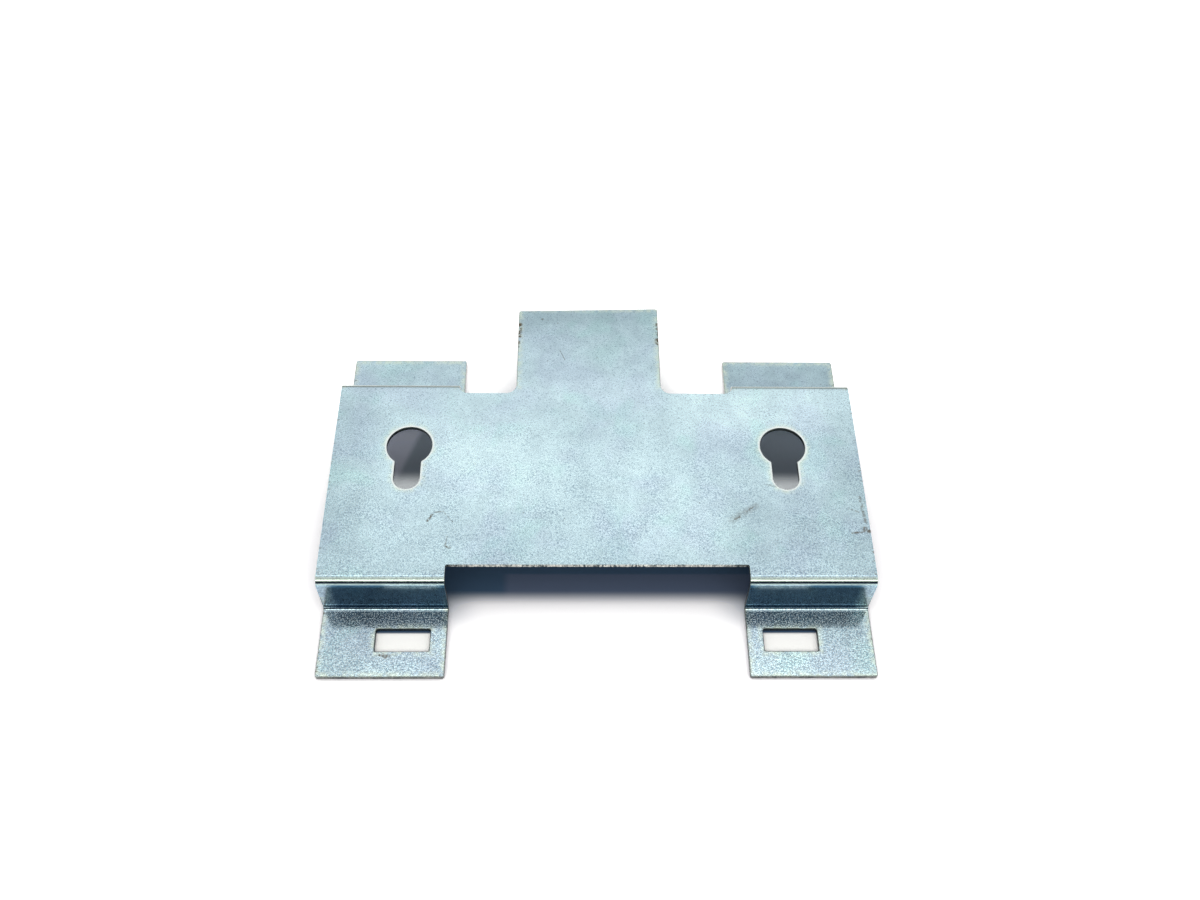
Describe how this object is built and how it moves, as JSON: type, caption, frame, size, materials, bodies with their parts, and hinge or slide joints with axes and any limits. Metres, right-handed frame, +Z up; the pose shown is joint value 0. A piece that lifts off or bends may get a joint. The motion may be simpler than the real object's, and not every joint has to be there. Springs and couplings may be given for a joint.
{
  "type": "stamped metal bracket",
  "caption": "Folded sheet-steel wall bracket: raised plate with keyholes and a rear tongue, slotted front feet and plain rear tabs.",
  "frame": {"origin": "middle of the outline, on the surface that the feet and tabs rest on", "axes": "+X to the right along the plate's long side, -Y towards the slotted feet, +Z up out of the plate"},
  "size_m": [0.1, 0.0774, 0.0106],
  "materials": {
    "zinc_plate": "bright zinc plating, pale blue, with a fine mottled grain and light wear"
  },
  "bodies": {
    "root": {"bracket": "zinc_plate"}
  },
  "joints": []
}
